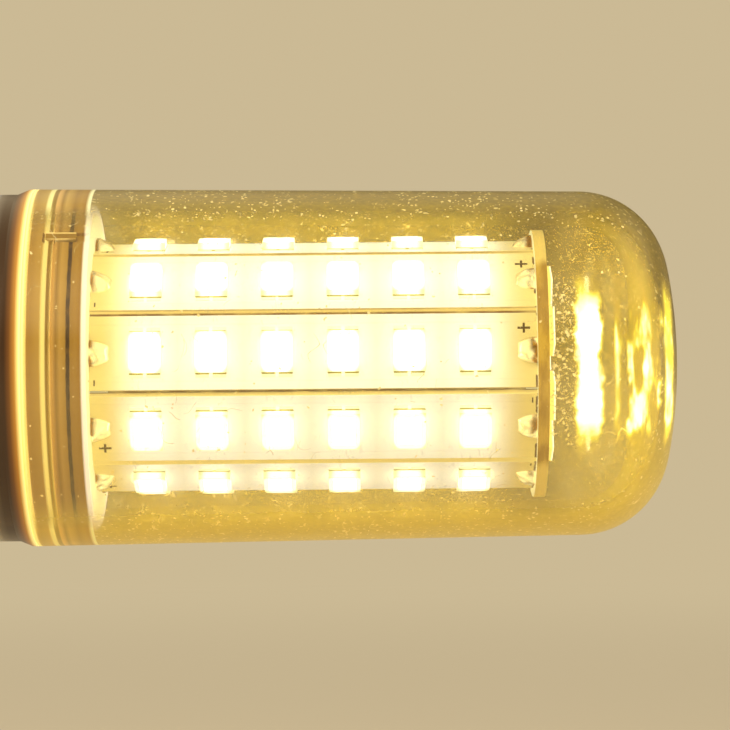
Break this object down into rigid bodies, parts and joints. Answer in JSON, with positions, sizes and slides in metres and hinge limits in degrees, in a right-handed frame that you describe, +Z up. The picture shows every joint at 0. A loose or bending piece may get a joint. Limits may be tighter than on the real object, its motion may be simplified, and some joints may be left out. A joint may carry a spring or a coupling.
{
  "type": "corn led bulb",
  "caption": "Corn-type LED bulb: strip boards of LEDs round a column under a clear domed cover, on a moulded housing with a screw cap.",
  "frame": {"origin": "centre of the end contact's flat face, on the bulb's axis", "axes": "+X along the bulb's axis from the cap to the dome, +Z up, -Y towards the picture's viewer"},
  "size_m": [0.1025, 0.0322, 0.0322],
  "materials": {
    "clear_cover": "clear moulded plastic, smooth, with fine scratches",
    "white_housing": "white translucent moulded plastic",
    "plated_shell": "bright plated sheet",
    "plated_contact": "tinned and slightly dull",
    "black_insulator": "glossy black",
    "white_board": "white solder mask on a thin laminate, with print",
    "led_package": "white moulded plastic",
    "phosphor": "warm white, lit",
    "solder": "bright lumpy solder",
    "driver_laminate": "tan laminate with printed tracks",
    "capacitor_box": "smooth ochre box",
    "capacitor_sleeve": "dark shrink sleeve",
    "black_component": "matt black",
    "resistor_coating": "matt green coating",
    "red_insulation": "smooth red insulation",
    "white_insulation": "smooth white insulation",
    "black_insulation": "smooth black insulation"
  },
  "bodies": {
    "root": {"cover": "clear_cover", "housing": "white_housing", "screw_shell": "plated_shell", "insulator": "black_insulator", "end_contact": "plated_contact", "base_disc": "white_board", "top_plate": "white_board", "top_leds": "led_package", "top_phosphor": "phosphor", "lower_solder": "solder", "upper_solder": "solder", "driver_board": "driver_laminate", "film_capacitor": "capacitor_box", "electrolytic_capacitor": "capacitor_sleeve", "bridge_rectifier": "black_component", "fuse_resistor": "resistor_coating", "chip_resistors": "black_component", "live_lead": "red_insulation", "neutral_lead": "white_insulation", "positive_lead": "red_insulation", "negative_lead": "black_insulation", "led_board_01": "white_board", "leds_01": "led_package", "phosphor_01": "phosphor", "led_board_02": "white_board", "leds_02": "led_package", "phosphor_02": "phosphor", "led_board_03": "white_board", "leds_03": "led_package", "phosphor_03": "phosphor", "led_board_04": "white_board", "leds_04": "led_package", "phosphor_04": "phosphor", "led_board_05": "white_board", "leds_05": "led_package", "phosphor_05": "phosphor", "led_board_06": "white_board", "leds_06": "led_package", "phosphor_06": "phosphor", "led_board_07": "white_board", "leds_07": "led_package", "phosphor_07": "phosphor", "led_board_08": "white_board", "leds_08": "led_package", "phosphor_08": "phosphor", "led_board_09": "white_board", "leds_09": "led_package", "phosphor_09": "phosphor", "led_board_10": "white_board", "leds_10": "led_package", "phosphor_10": "phosphor"}
  },
  "joints": []
}
